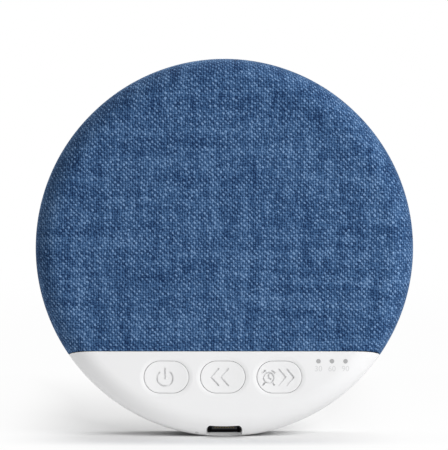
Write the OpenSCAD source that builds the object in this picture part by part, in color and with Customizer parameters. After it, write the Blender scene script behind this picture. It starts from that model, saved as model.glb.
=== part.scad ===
// Round pillow speaker that stands on its rim, face toward -Y, +Z up, sizes in millimetres.
// Pieces are drawn in the disc's own frame: x to the right, y up the face, z from the back to the front.

/* [Body] */
// outer diameter of the disc
body_d = 100; // [98:0.5:104]
// thickness from the back face to the front face
body_t = 20; // [19.6:0.1:21]
// radius of the rounded front edge
front_round = 6.5; // [6.2:0.1:6.8]
// radius of the rounded back edge
back_round = 3; // [2.7:0.1:3.3]
// wall of the moulded covers
wall = 2; // [1.8:0.1:2.2]
// groove between the back cover and the front covers
part_gap = 0.4; // [0.2:0.1:0.6]
// width of the flat on the rim that the body stands on
foot_w = 9; // [6:0.5:10]

/* [Cloth front] */
// thickness of the cloth
cloth_t = 0.8; // [0.5:0.1:1]
// thickness of the panel under the cloth
panel_t = 1.8; // [1.5:0.1:2]
// distance of the seam above the lowest point of the rim, at the front face
seam_up = 23.2; // [22.6:0.1:23.6]
// lean of the seam plane, down toward the back
seam_tilt = 14; // [10:1:15]
// width of the seam groove
seam_gap = 0.2; // [0.1:0.05:0.4]
// diameter of a sound hole in the panel
hole_d = 2.2; // [1.6:0.1:2.8]
// distance between rings of sound holes
hole_pitch = 4.6; // [4:0.1:4.8]

/* [Keys] */
// width of a key
key_w = 11.8; // [11.4:0.1:12.2]
// height of a key
key_h = 8.4; // [8.2:0.1:8.7]
// distance between key centres
key_pitch = 14.9; // [14.7:0.1:15.2]
// sideways place of the middle key
key_x = -0.4; // [-0.6:0.1:0]
// distance of the key centres above the lowest point of the rim
key_up = 16.3; // [15.9:0.1:16.5]
// gap between a key and its opening
key_gap = 0.1; // [0.08:0.02:0.2]
// how far a key is pressed in
key_travel = 0.5; // [0.3:0.05:0.5]
// width of the dished border round an opening
dish_w = 1.1; // [0.6:0.1:1.2]
// depth of the dished border
dish_d = 0.2; // [0.15:0.05:0.25]
// depth of the hollow in a key's face
scoop_d = 0.25; // [0.1:0.05:0.3]
// width of the engraved lines
icon_line = 0.42; // [0.3:0.02:0.5]
// least depth of the engraved lines
icon_d = 0.4; // [0.2:0.05:0.5]

/* [Lights] */
// angle of the middle timer light below the disc's horizontal
light_a = 46.1; // [45:0.1:47]
// distance of the middle timer light from the rim
light_in = 9.06; // [8.9:0.02:9.3]
// distance between timer lights
light_pitch = 3.57; // [3.3:0.01:3.6]
// diameter of a timer light
light_d = 1.15; // [0.9:0.05:1.3]
// sideways place of the charge light
charge_x = -7.3; // [-8:0.1:-7]
// diameter of the charge light
charge_d = 1; // [0.8:0.1:1]
// distance of the charge light's middle behind the front face
charge_in = 3.5; // [3.3:0.1:3.7]

/* [Port] */
// distance of the port's middle behind the front face
port_in = 2.75; // [2.7:0.05:2.9]
// distance of the socket's mouth above the lowest point of the rim
mouth_up = 1.3; // [1.1:0.1:1.6]
// width of the slot in the chin
port_w = 9.4; // [9.3:0.1:9.8]
// height of the slot in the chin
port_h = 3.7; // [3.6:0.1:3.9]
// corner radius of the slot in the chin
port_corner = 1; // [0.8:0.1:1.2]
// width of the socket's metal shell
shell_w = 8.94; // [8.9:0.02:9]
// height of the socket's metal shell
shell_h = 3.26; // [3.2:0.02:3.3]
// thickness of the socket's metal shell
shell_t = 0.3; // [0.25:0.05:0.35]

/* [Driver] */
// distance of the driver above the disc's centre
driver_y = 12; // [11.6:0.1:12.4]
// radius of the driver's flange
driver_r = 26; // [25.5:0.1:26.4]
// radius of the steel yoke
yoke_r = 13; // [12.4:0.1:13.4]
// width of the flange and the surround together
roll_band = 7; // [6.8:0.1:7.4]
// how far the cone moves each way
cone_travel = 0.8; // [0.4:0.1:0.8]
// radius of the voice coil's former
coil_r = 8.15; // [8:0.05:8.2]

/* [Board and battery] */
// thickness of the circuit board
board_t = 1.6; // [1.2:0.1:1.8]
// distance of the circuit board's rim inside the body's rim
board_in = 5; // [4.8:0.1:5.2]
// length of the battery cell
cell_w = 36; // [30:0.5:37]
// width of the battery cell
cell_h = 24; // [20:0.5:24]
// thickness of the battery cell
cell_t = 6; // [4:0.1:6.2]

/* [Fasteners] */
// radius of a case screw's thread
case_screw_r = 1; // [0.9:0.05:1.1]
// length of a case screw's thread
case_screw_l = 8; // [6:0.5:9]
// radius of a board screw's thread
board_screw_r = 0.9; // [0.8:0.05:0.95]

/* [Hidden] */
$fn = 96;
body_r = body_d / 2;
edge_r = body_r - front_round;
band_low = back_round;
band_top = body_t - front_round;
foot_h = sqrt(body_r * body_r - foot_w * foot_w / 4);

// clearances: running, between flat faces, seated, round a screw's thread, round a screw's hole and head
run_gap = 0.3;
flat_gap = 0.1;
seat_gap = 0.05;
thread_gap = 0.03;
screw_gap = 0.15;
head_gap = 0.25;
// small overlap that joins the parts of one piece
joint = 0.2;

// back cover and the soft ring in its back
part_z = band_low;
front_low = part_z + part_gap;
lip_t = 1.2;
lip_h = 3;
lip_r = body_r - cloth_t - panel_t - run_gap;
grip_in = 20;
grip_out = 30;
grip_proud = 0.5;
grip_set = 0.5;
mid_z = (body_t - grip_proud) / 2;

// front covers
chin_in = body_t - wall;
panel_in = body_t - cloth_t - panel_t;
panel_low = front_low + cloth_t;
seam_y = body_r - seam_up;
seam_shift = seam_gap / 2;

// case screws: two into the chin near the port, two into the panel above
boss_wall = 1.4;
case_boss_r = case_screw_r + boss_wall;
chin_boss_x = 16;
chin_boss_up = 8.8;
panel_boss_in = 8;
panel_boss_a = 38;
chin_boss = [chin_boss_x, chin_boss_up - body_r];
panel_boss = (body_r - panel_boss_in) * [cos(panel_boss_a), sin(panel_boss_a)];
case_places = [
  [-chin_boss[0], chin_boss[1]],
  chin_boss,
  [-panel_boss[0], panel_boss[1]],
  panel_boss
];
post_wall = 0.6;
post_r = case_boss_r + post_wall;
head_over = 0.9;
head_r = case_screw_r + head_over;
head_t = 1.2;
head_set = 0.2;
head_seat = head_t + head_set;

// keys
key_y = body_r - key_up;
key_bevel = 0.1;
key_top = body_t - dish_d;
key_flange = 0.6;
key_flange_t = 0.9;
key_low = chin_in - flat_gap - key_flange_t;
pocket_gap = 0.2;
pocket_low = key_low - key_travel - run_gap;
pocket_top = chin_in + flat_gap;
stem_r = 1.4;
stem_over = 0.15;
scoop_half = 0.46 * key_w;
scoop_r = (scoop_half * scoop_half + scoop_d * scoop_d) / (2 * scoop_d);
sign_r = 0.273 * key_h;
icon_floor = key_top - scoop_d - icon_d;
dish_lean = 3;
dish_in = 1;
dish_r = (dish_w * dish_w + dish_d * dish_d) / (2 * (dish_d * cos(dish_lean) - dish_w * sin(dish_lean)));

// switches, stacked down from the key to the circuit board
switch_h = 1.8;
switch_w = 4.5;
switch_roof = 0.6;
switch_room = 0.23;
plunger_r = 0.9;
dome_floor = 0.3;
dome_h = 0.45;
dome_r = 1.6;
dome_top_r = 0.7;
dome_t = 0.12;
dome_lip = 0.2;
stem_low = key_low - key_travel - stem_over;
plunger_top = stem_low - seat_gap;
board_top = plunger_top - key_travel - switch_h - switch_room;
board_low = board_top - board_t;
plunger_low = board_top + dome_floor + dome_h + seat_gap;

// strip that joins the chin to the panel behind the seam, with its heat stakes
stake_up = 3.9;
stake_y = stake_up - seam_y;
stake_r = 1;
stake_head_r = 1.7;
stake_head_t = 0.6;
stake_near = 7;
stake_far = 20;
stake_places = [-stake_far, -stake_near, stake_near, stake_far];
lap_t = 1.5;
lap_edge = 0.8;
lap_top = panel_in - flat_gap;
lap_z = lap_top - lap_t;
lap_low = -(key_y - key_h / 2 - key_flange - run_gap);
lap_high = stake_y + stake_head_r + lap_edge;

// circuit board and its screws: two near the rim, one under the strip
board_r = body_r - board_in;
board_up = 10.4;
board_edge = board_up - seam_y;
board_bite = 2.9;
board_screw_l = board_t + board_bite;
board_head_r = board_screw_r + head_over;
board_head_t = 1.2;
board_boss_r = 2;
left_boss_in = 9.3;
left_boss_a = 228.5;
right_boss_in = 6.6;
right_boss_a = 305;
rim_places = [
  (body_r - left_boss_in) * [cos(left_boss_a), sin(left_boss_a)],
  (body_r - right_boss_in) * [cos(right_boss_a), sin(right_boss_a)]
];
lap_place = [0, stake_y];
board_places = concat(rim_places, [lap_place]);

// charging socket, held up to the rounded edge by a riser on the board
port_z = body_t - port_in;
shell_back = key_y + key_h / 2 + key_flange + run_gap;
shell_mouth = body_r - mouth_up;
shell_low = port_z - shell_h / 2;
riser_set = 0.7;
riser_w = shell_w - shell_h;
riser_l = board_r - riser_set - shell_back;
tongue_w = 6.7;
tongue_t = 0.7;
tongue_set = 1;
tongue_base = 1.1;
contact_n = 8;
contact_w = 0.3;
contact_t = 0.08;
contact_l = 3.2;
contact_set = 0.3;
contact_pitch = 0.69;

// lights
light_mid = (body_r - light_in) * [cos(light_a), -sin(light_a)];
led_w = 1.6;
led_d = 0.8;
led_h = 0.6;
led_room = 0.2;
led_set = 0.5;
guide_low = board_top + led_h + led_room;
guide_t = 0.7;
guide_d = 1.5;
guide_end = 1;
charge_z = body_t - charge_in;
charge_edge = sqrt(board_r * board_r - charge_x * charge_x);
charge_y = led_set + led_d / 2 - charge_edge;
charge_over = 0.4;
charge_post = charge_d + charge_over;

// driver, stacked from the panel to the back
cone_r = driver_r - roll_band;
flange_w = 3.1;
seat_t = 1;
seat_in = driver_r - flange_w;
gasket_t = 0.8;
flange_t = 0.8;
gasket_top = panel_in - seat_t;
flange_top = gasket_top - gasket_t;
flange_low = flange_top - flange_t;
cup_w = 1.2;
cup_r = driver_r + run_gap + cup_w;
pad_t = 0.8;
yoke_low = wall + pad_t;
yoke_h = 5.8;
yoke_top = yoke_low + yoke_h;
yoke_floor = 1.6;
coil_room = 1.45;
yoke_in = coil_r + coil_room;
magnet_gap = 0.75;
magnet_r = coil_r - magnet_gap;
magnet_h = 2.8;
pole_gap = 0.45;
pole_r = coil_r - pole_gap;
pole_low = yoke_low + yoke_floor + magnet_h;
basket_t = 0.8;
neck_r = yoke_in + joint;
basket_foot = yoke_r + basket_t;
basket_in = seat_in - run_gap;
slot_w = 8;
slot_up = 1.1;
former_t = 0.2;
wind_t = 0.7;
wind_h = 3.2;
coil_float = 0.6;
coil_low = yoke_low + yoke_floor + cone_travel + coil_float;
cone_up = 2.6;
cone_low = yoke_top + cone_up;
former_top = cone_low + flat_gap;
cone_in = coil_r + former_t + seat_gap;
cone_t = 0.5;
cone_edge = flange_top - cone_t;
cap_over = 0.5;
cap_r = cone_in + cap_over;
cap_low = cone_low + cone_t + run_gap;
cap_ball = 22;
cap_t = 0.4;
roll_r = 1.4;
roll_t = 0.3;
roll_foot = 0.8;
roll_mid = cone_r + joint + roll_r;
roll_low = flange_top + seat_gap;
spider_t = 0.25;
spider_up = 0.7;
spider_foot = 0.4;
spider_wave = 0.5;
spider_z = yoke_top + basket_t + spider_up;
spider_out = basket_foot + spider_foot;

// battery
tape_t = 0.4;
tape_in_x = 3;
tape_in_y = 4;
cell_up = 2.4;
cell_y = cell_up - seam_y;
cell_round = 2;
cell_low = wall + tape_t;
guard_w = 20;
guard_d = 2.4;
guard_h = 4.4;
guard_up = 0.6;
guard_low = cell_low + guard_up;
guard_y = cell_y + cell_h / 2;

// plugs, sockets and wires
plug_x = 24;
plug_w = 4.6;
plug_t = 2.2;
plug_l = 4.6;
plug_up = 9.8;
plug_y = plug_up - seam_y;
socket_w = 6.2;
socket_t = 3.2;
socket_l = 5;
socket_up = 3.4;
socket_y = socket_up - seam_y;
wire_r = 0.45;
wire_gap = 0.75;
wire_turn = 1;
wire_sides = 8;
plug_z = board_low - socket_t / 2;
plug_room = 5.5;
lead_y = guard_y + guard_d / 2;
lead_high = plug_y + plug_room;
lead_a = 3;
terminal_a = 240;
terminal_in = 1.8;
terminal_r = driver_r - terminal_in;
terminal_w = 7;
terminal_d = 2.8;
terminal_t = 1;
terminal_z = flange_low - terminal_t;

// parts on the back of the board, placed sideways and up or down from the seam or the keys
radio_w = 7;
radio_t = 0.9;
radio_x = -8;
radio_down = 2.6;
amp_w = 4;
amp_x = -18;
amp_up = 0.4;
charger_w = 3;
charger_t = 0.8;
charger_x = 9;
charger_down = 4.9;
crystal_w = 3.2;
crystal_d = 2.5;
crystal_t = 0.7;
crystal_down = 3.4;
choke_w = 4;
choke_t = 2;
choke_in = 1;
choke_down = 2.1;
small_x = 3;
small_pitch = 2.4;
ceramic_w = 1.6;
ceramic_d = 0.8;
ceramic_up = 0.4;
resistor_w = 1;
resistor_d = 0.5;
resistor_t = 0.4;
resistor_down = 6.6;

// stands the flat disc up on its rim, with the middle of its depth over the origin
module stand() {
  translate([0, mid_z, foot_h])
    rotate([90, 0, 0])
      children();
}

// half of the body's section, drawn in by inset
module half_section(inset) {
  translate([0, inset])
    square([edge_r, body_t - 2 * inset]);
  translate([0, inset])
    square([body_r - back_round, band_low - inset]);
  translate([0, band_low])
    square([body_r - inset, band_top - band_low]);
  translate([edge_r, band_top])
    intersection() {
      circle(front_round - inset);
      square(front_round);
    }
  translate([body_r - back_round, band_low])
    intersection() {
      circle(back_round - inset);
      translate([0, -back_round])
        square(back_round);
    }
}

module body_solid(inset) {
  rotate_extrude()
    half_section(inset);
}

module body_shell(outer, inner) {
  difference() {
    body_solid(outer);
    body_solid(inner);
  }
}

// everything above the seam plane, moved up by shift
module above_seam(shift) {
  translate([0, -seam_y, body_t])
    rotate([-seam_tilt, 0, 0])
      translate([-body_d, shift, -2 * body_d])
        cube([2 * body_d, 2 * body_d, 3 * body_d]);
}

module below_seam(shift) {
  translate([0, -seam_y, body_t])
    rotate([-seam_tilt, 0, 0])
      translate([-body_d, shift - 2 * body_d, -2 * body_d])
        cube([2 * body_d, 2 * body_d, 3 * body_d]);
}

// everything in front of a plane across the body's axis
module ahead_of(z) {
  translate([-body_d, -body_d, z])
    cube([2 * body_d, 2 * body_d, body_d]);
}

module foot_cut() {
  translate([-body_d, -foot_h - body_d, -body_t])
    cube([2 * body_d, body_d, 3 * body_t]);
}

module ring(outer, inner, h) {
  difference() {
    cylinder(r = outer, h = h);
    translate([0, 0, -joint])
      cylinder(r = inner, h = h + 2 * joint);
  }
}

module stadium(w, h) {
  square([w - h, h], center = true);
  for (side = [-1, 1])
    translate([side * (w - h) / 2, 0])
      circle(h / 2);
}

// rectangle with rounded corners
module rounded(w, h, r) {
  square([w - 2 * r, h], center = true);
  square([w, h - 2 * r], center = true);
  for (side = [-1, 1])
    for (end = [-1, 1])
      translate([side * (w / 2 - r), end * (h / 2 - r)])
        circle(r);
}

// sloping edge round the top of a stadium
module stadium_bevel(w, h, bevel) {
  for (side = [-1, 1])
    translate([side * (w - h) / 2, 0, 0])
      cylinder(r1 = h / 2, r2 = h / 2 - bevel, h = bevel);
  translate([-(w - h) / 2, 0, 0])
    rotate([90, 0, 90])
      linear_extrude(w - h)
        polygon([[-h / 2, 0], [h / 2, 0], [h / 2 - bevel, bevel], [bevel - h / 2, bevel]]);
}

module at_key(place) {
  translate([key_x + place * key_pitch, -key_y, 0])
    children();
}

// section of the dished border, from inside the opening outward to the face, which it meets at a slight lean
module dish_section() {
  difference() {
    translate([-dish_in, -dish_d - joint])
      square([dish_w + dish_in, dish_d + 2 * joint]);
    translate([dish_w + dish_r * sin(dish_lean), -dish_r * cos(dish_lean)])
      circle(dish_r);
  }
}

// dished border round one key opening: a half turn at each end and two straight sides
module dish() {
  hole_h = key_h + 2 * key_gap;
  straight = key_w - key_h;
  for (side = [-1, 1]) {
    translate([side * straight / 2, 0, body_t])
      rotate(-90 * side)
        rotate_extrude(angle = 180)
          translate([hole_h / 2, 0])
            dish_section();
    translate([-straight / 2, side * hole_h / 2, body_t])
      rotate([90, 0, 90])
        linear_extrude(straight)
          scale([side, 1])
            dish_section();
  }
}

module rear_housing() {
  color("#f1f1f1")
    stand()
      difference() {
        union() {
          difference() {
            body_shell(0, wall);
            ahead_of(part_z);
          }
          difference() {
            translate([0, 0, wall - joint])
              ring(lip_r, lip_r - lip_t, part_z + lip_h - wall + joint);
            for (side = [-1, 1])
              translate([side * chin_boss[0], chin_boss[1], part_z])
                cylinder(r = case_boss_r + run_gap, h = lip_h + joint);
          }
          for (place = case_places)
            translate([place[0], place[1], wall - joint])
              cylinder(r = post_r, h = front_low - wall + joint);
        }
        foot_cut();
        translate([0, 0, grip_set - body_t])
          ring(grip_out + flat_gap, grip_in - flat_gap, body_t);
        for (place = case_places)
          translate([place[0], place[1], -joint]) {
            cylinder(r = head_r + head_gap, h = head_seat + joint);
            cylinder(r = case_screw_r + screw_gap, h = body_t);
          }
      }
}

module grip_ring() {
  color("#c9cbcd")
    stand()
      translate([0, 0, -grip_proud])
        ring(grip_out, grip_in, grip_proud + grip_set);
}

// screw with a cross recess, thread up from z = 0 and head below
module screw(thread_r, thread_l, top_r, top_t) {
  difference() {
    union() {
      cylinder(r = thread_r, h = thread_l);
      translate([0, 0, -top_t])
        cylinder(r = top_r, h = top_t);
    }
    for (turn = [0, 90])
      rotate(turn)
        translate([-0.62 * top_r, -0.13 * top_r, -top_t - joint])
          cube([1.24 * top_r, 0.26 * top_r, 0.55 * top_t + joint]);
  }
}

module case_screws() {
  color("#9a9da1")
    stand()
      for (place = case_places)
        translate([place[0], place[1], head_seat])
          rotate(45)
            screw(case_screw_r, case_screw_l, head_r, head_t);
}

// screw boss inside a cover whose middle depth is inset
module case_boss(place, top, inset) {
  intersection() {
    translate([place[0], place[1], front_low])
      cylinder(r = case_boss_r, h = top - front_low);
    body_solid(inset);
  }
}

module case_bore(place) {
  translate([place[0], place[1], front_low - joint])
    cylinder(r = case_screw_r + thread_gap, h = head_seat + case_screw_l - front_low + 2 * joint);
}

module chin_cover() {
  color("#f2f2f3")
    stand()
      difference() {
        union() {
          intersection() {
            body_shell(0, wall);
            below_seam(-seam_shift);
            ahead_of(front_low);
          }
          for (side = [-1, 1])
            case_boss([side * chin_boss[0], chin_boss[1]], body_t, wall / 2);
          lap();
          for (place = rim_places)
            intersection() {
              translate([place[0], place[1], board_top])
                cylinder(r = board_boss_r, h = body_t - board_top);
              body_solid(wall / 2);
            }
          translate([lap_place[0], lap_place[1], board_top])
            cylinder(r = board_boss_r, h = lap_z - board_top + joint);
        }
        foot_cut();
        for (place = [-1, 0, 1])
          at_key(place) {
            translate([0, 0, key_low])
              linear_extrude(body_t)
                stadium(key_w + 2 * key_gap, key_h + 2 * key_gap);
            translate([0, 0, pocket_low])
              linear_extrude(pocket_top - pocket_low)
                stadium(key_w + 2 * (key_flange + pocket_gap), key_h + 2 * (key_flange + pocket_gap));
            dish();
          }
        for (place = [-1, 0, 1])
          translate([light_mid[0] + place * light_pitch, light_mid[1], guide_low])
            cylinder(d = light_d + 2 * thread_gap, h = body_t);
        translate([0, run_gap - shell_back, port_z])
          rotate([90, 0, 0])
            linear_extrude(body_r)
              rounded(port_w, port_h, port_corner);
        translate([charge_x, -charge_edge, charge_z])
          rotate([90, 0, 0])
            cylinder(d = charge_d + 2 * thread_gap, h = body_r);
        for (side = [-1, 1])
          case_bore([side * chin_boss[0], chin_boss[1]]);
        for (place = board_places)
          translate([place[0], place[1], board_top - joint])
            cylinder(r = board_screw_r + thread_gap, h = board_screw_l - board_t + 2 * joint);
        for (x = stake_places)
          translate([x, stake_y, lap_z - joint])
            cylinder(r = stake_r + seat_gap, h = lap_t + 2 * joint);
      }
}

// strip under the panel's edge, with the rib that carries it along the seam
module lap() {
  intersection() {
    translate([0, 0, lap_z])
      cylinder(r = edge_r, h = body_t);
    union() {
      translate([-edge_r, lap_low, lap_z])
        cube([2 * edge_r, lap_high - lap_low, lap_t]);
      intersection() {
        translate([-edge_r, lap_low, lap_z])
          cube([2 * edge_r, -lap_low, chin_in - lap_z + joint]);
        below_seam(-seam_shift);
      }
    }
  }
}

module grille_panel() {
  color("#3a4048")
    stand()
      difference() {
        union() {
          intersection() {
            body_shell(cloth_t, cloth_t + panel_t);
            above_seam(seam_shift + cloth_t);
            ahead_of(panel_low);
          }
          for (side = [-1, 1])
            case_boss([side * panel_boss[0], panel_boss[1]], body_t, cloth_t + panel_t / 2);
          translate([0, driver_y, flange_low - joint])
            cylinder(r = cup_r, h = panel_in - flange_low + 2 * joint);
          for (x = stake_places)
            translate([x, stake_y, 0]) {
              translate([0, 0, lap_z - stake_head_t - seat_gap])
                cylinder(r = stake_head_r, h = stake_head_t);
              translate([0, 0, lap_z - stake_head_t])
                cylinder(r = stake_r, h = panel_in - lap_z + stake_head_t + joint);
            }
        }
        translate([0, driver_y, flange_low - 2 * joint])
          cylinder(r = driver_r + run_gap, h = gasket_top - flange_low + 2 * joint);
        translate([0, driver_y, gasket_top - joint])
          cylinder(r = seat_in, h = seat_t + joint);
        for (circle_n = [1 : 4])
          for (step = [0 : 6 * circle_n - 1])
            translate([0, driver_y, panel_in - joint])
              rotate(step * 60 / circle_n)
                translate([circle_n * hole_pitch, 0, 0])
                  cylinder(d = hole_d, h = panel_t + 2 * joint);
        translate([0, driver_y, panel_in - joint])
          cylinder(d = hole_d, h = panel_t + 2 * joint);
        for (side = [-1, 1])
          case_bore([side * panel_boss[0], panel_boss[1]]);
      }
}

module cloth_cover() {
  color("#405e84")
    stand()
      intersection() {
        union() {
          body_shell(0, cloth_t);
          difference() {
            body_shell(0, cloth_t + panel_t);
            ahead_of(panel_low);
          }
          intersection() {
            body_shell(0, cloth_t + panel_t);
            below_seam(seam_shift + cloth_t);
          }
        }
        above_seam(seam_shift);
        ahead_of(front_low);
      }
}

// key with flange, stem and hollowed face, its sign cut by the flat children
module key(place) {
  color("#f0f0f1")
    stand()
      at_key(place)
        difference() {
          union() {
            translate([0, 0, key_low])
              linear_extrude(key_flange_t)
                stadium(key_w + 2 * key_flange, key_h + 2 * key_flange);
            translate([0, 0, key_low])
              linear_extrude(key_top - key_bevel - key_low)
                stadium(key_w, key_h);
            translate([0, 0, key_top - key_bevel])
              stadium_bevel(key_w, key_h, key_bevel);
            translate([0, 0, stem_low])
              cylinder(r = stem_r, h = key_low - stem_low + joint);
          }
          translate([0, 0, key_top - scoop_d + scoop_r])
            sphere(scoop_r);
          translate([0, 0, icon_floor])
            linear_extrude(body_t)
              children();
        }
}

// straight engraved line between two points
module stroke(from, to) {
  run = to - from;
  translate(from)
    rotate(atan2(run[1], run[0]))
      translate([-icon_line / 2, -icon_line / 2])
        square([norm(run) + icon_line, icon_line]);
}

module circle_line(r) {
  difference() {
    circle(r);
    circle(r - icon_line);
  }
}

// arrow head with its point at x and arms that run dx sideways
module arrow(x, dx, dy) {
  stroke([x, 0], [x + dx, dy]);
  stroke([x, 0], [x + dx, -dy]);
}

module power_button() {
  key(-1)
    translate(sign_r * [-0.17, -0.13]) {
      difference() {
        circle_line(sign_r);
        polygon(sign_r * [[0, 0], [-1.02, 1.28], [1.02, 1.28]]);
      }
      stroke(sign_r * [0, -0.04], sign_r * [0, 1.11]);
    }
}

module back_button() {
  key(0)
    for (x = [-1.36, -0.255])
      arrow(sign_r * x, 0.85 * sign_r, 0.937 * sign_r);
}

module forward_button() {
  key(1) {
    for (x = [0.724, 1.661])
      arrow(sign_r * x, -0.745 * sign_r, 0.873 * sign_r);
    translate(sign_r * [-1.235, -0.085]) {
      circle_line(0.6815 * sign_r);
      stroke([0, 0], sign_r * [0, 0.32]);
      stroke([0, 0], sign_r * [0.213, -0.149]);
      for (side = [-1, 1]) {
        stroke(sign_r * [side * 0.405, 0.83], sign_r * [side * 0.703, 0.575]);
        stroke(sign_r * [side * 0.49, -0.639], sign_r * [side * 0.639, -0.83]);
      }
    }
  }
}

module plunger(place) {
  color("#2b2b2d")
    stand()
      at_key(place)
        translate([0, 0, plunger_low])
          cylinder(r = plunger_r, h = plunger_top - plunger_low);
}

module power_plunger() {
  plunger(-1);
}

module back_plunger() {
  plunger(0);
}

module forward_plunger() {
  plunger(1);
}

// snap dome that lies on the switch floor under the plunger
module dome(place) {
  color("#c8ccd0")
    stand()
      at_key(place)
        translate([0, 0, board_top + dome_floor])
          difference() {
            cylinder(r1 = dome_r, r2 = dome_top_r, h = dome_h);
            cylinder(r1 = dome_r - dome_lip, r2 = dome_top_r - dome_lip, h = dome_h - dome_t);
          }
}

module power_dome() {
  dome(-1);
}

module back_dome() {
  dome(0);
}

module forward_dome() {
  dome(1);
}

module switch_bodies() {
  color("#3c3d40")
    stand()
      for (place = [-1, 0, 1])
        at_key(place)
          translate([0, 0, board_top])
            difference() {
              translate([-switch_w / 2, -switch_w / 2, 0])
                cube([switch_w, switch_w, switch_h]);
              translate([0, 0, dome_floor])
                cylinder(r = dome_r + flat_gap, h = switch_h - dome_floor - switch_roof);
              translate([0, 0, dome_floor])
                cylinder(r = plunger_r + seat_gap, h = switch_h);
            }
}

module main_board() {
  color("#1f5a3c")
    stand()
      difference() {
        intersection() {
          translate([0, 0, board_low])
            cylinder(r = board_r, h = board_t);
          translate([-body_r, -body_d, 0])
            cube([body_d, body_d + board_edge, body_t]);
        }
        for (side = [-1, 1])
          translate([side * chin_boss[0], chin_boss[1], 0])
            cylinder(r = case_boss_r + run_gap, h = body_t);
        for (place = board_places)
          translate([place[0], place[1], 0])
            cylinder(r = board_screw_r + screw_gap, h = body_t);
      }
}

module board_screws() {
  color("#a8abae")
    stand()
      for (place = board_places)
        translate([place[0], place[1], board_low])
          screw(board_screw_r, board_screw_l, board_head_r, board_head_t);
}

module usb_riser() {
  color("#26272a")
    stand()
      translate([-riser_w / 2, -shell_back - riser_l, board_top])
        cube([riser_w, riser_l, shell_low - board_top]);
}

module usb_shell() {
  color("#2c2d30")
    stand()
      translate([0, -shell_back, port_z])
        rotate([90, 0, 0])
          difference() {
            linear_extrude(shell_mouth - shell_back)
              stadium(shell_w, shell_h);
            translate([0, 0, shell_t])
              linear_extrude(body_r)
                stadium(shell_w - 2 * shell_t, shell_h - 2 * shell_t);
          }
}

module usb_tongue() {
  color("#1c1c1e")
    stand()
      translate([0, -shell_back - shell_t, port_z])
        rotate([90, 0, 0]) {
          linear_extrude(tongue_base)
            stadium(shell_w - 2 * shell_t - 2 * seat_gap, shell_h - 2 * shell_t - 2 * seat_gap);
          linear_extrude(shell_mouth - shell_back - shell_t - tongue_set)
            square([tongue_w, tongue_t], center = true);
        }
}

module usb_contacts() {
  color("#c9a24a")
    stand()
      for (side = [0, 180])
        translate([0, -shell_mouth + tongue_set + contact_set, port_z])
          rotate([0, side, 0])
            for (step = [0 : contact_n - 1])
              translate([(step - (contact_n - 1) / 2) * contact_pitch - contact_w / 2, 0, tongue_t / 2])
                cube([contact_w, contact_l, contact_t]);
}

module timer_leds() {
  color("#e9e4c8")
    stand()
      for (place = [-1, 0, 1])
        translate([light_mid[0] + place * light_pitch - led_w / 2, light_mid[1] - led_d / 2, board_top])
          cube([led_w, led_d, led_h]);
}

module light_guide() {
  color("#c3c6c8")
    stand()
      intersection() {
        union() {
          translate([light_mid[0] - light_pitch - guide_end, light_mid[1] - guide_d / 2, guide_low])
            cube([2 * (light_pitch + guide_end), guide_d, guide_t]);
          for (place = [-1, 0, 1])
            translate([light_mid[0] + place * light_pitch, light_mid[1], guide_low])
              cylinder(d = light_d, h = body_t);
        }
        body_solid(0);
      }
}

module charge_led() {
  color("#e9e4c8")
    stand()
      translate([charge_x - led_w / 2, charge_y - led_d / 2, board_top])
        cube([led_w, led_d, led_h]);
}

// bent guide: a post over the light chip and a pin out through the rounded edge
module charge_pin() {
  color("#c3c6c8")
    stand() {
      translate([charge_x - charge_post / 2, charge_y - charge_post / 2, guide_low])
        cube([charge_post, charge_post, charge_z + charge_post / 2 - guide_low]);
      intersection() {
        translate([charge_x, charge_y, charge_z])
          rotate([90, 0, 0])
            cylinder(d = charge_d, h = body_r);
        body_solid(0);
      }
    }
}

// block on the back of the board, centred at x and y
module back_block(x, y, w, d, h) {
  stand()
    translate([x - w / 2, y - d / 2, board_low - h])
      cube([w, d, h]);
}

module radio_chip() {
  color("#2a2c2f")
    back_block(radio_x, -seam_y - radio_down, radio_w, radio_w, radio_t);
}

module amp_chip() {
  color("#2a2c2f")
    back_block(amp_x, amp_up - seam_y, amp_w, amp_w, radio_t);
}

module charge_chip() {
  color("#2a2c2f")
    back_block(charger_x, -key_y - charger_down, charger_w, charger_w, charger_t);
}

module crystal() {
  color("#c7c9cc")
    back_block(radio_x, -key_y - crystal_down, crystal_w, crystal_d, crystal_t);
}

module choke() {
  color("#3a3a3a")
    back_block((cell_w + choke_w) / 2 + choke_in, -seam_y - choke_down, choke_w, choke_w, choke_t);
}

module small_parts() {
  color("#8f7a5c") {
    for (step = [0 : 3]) {
      back_block(small_x + small_pitch * step, ceramic_up - seam_y, ceramic_w, ceramic_d, ceramic_d);
      back_block(small_x + small_pitch * step, -seam_y - resistor_down, resistor_w, resistor_d, resistor_t);
    }
  }
}

module battery_cell() {
  color("#b4b9be")
    stand()
      translate([-cell_w / 2, cell_y, cell_low])
        rotate([90, 0, 90])
          linear_extrude(cell_w) {
            translate([-cell_h / 2, cell_round])
              square([cell_h, cell_t - 2 * cell_round]);
            translate([cell_round - cell_h / 2, 0])
              square([cell_h - 2 * cell_round, cell_t]);
            for (side = [-1, 1])
              for (z = [cell_round, cell_t - cell_round])
                translate([side * (cell_h / 2 - cell_round), z])
                  circle(cell_round);
          }
}

module battery_tape() {
  color("#d9dadb")
    stand()
      translate([tape_in_x - cell_w / 2, cell_y + tape_in_y - cell_h / 2, wall])
        cube([cell_w - 2 * tape_in_x, cell_h - 2 * tape_in_y, tape_t]);
}

module cell_guard() {
  color("#c48a2a")
    stand()
      translate([-guard_w / 2, guard_y, guard_low])
        cube([guard_w, guard_d, guard_h]);
}

function unit(v) = v / norm(v);

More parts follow.
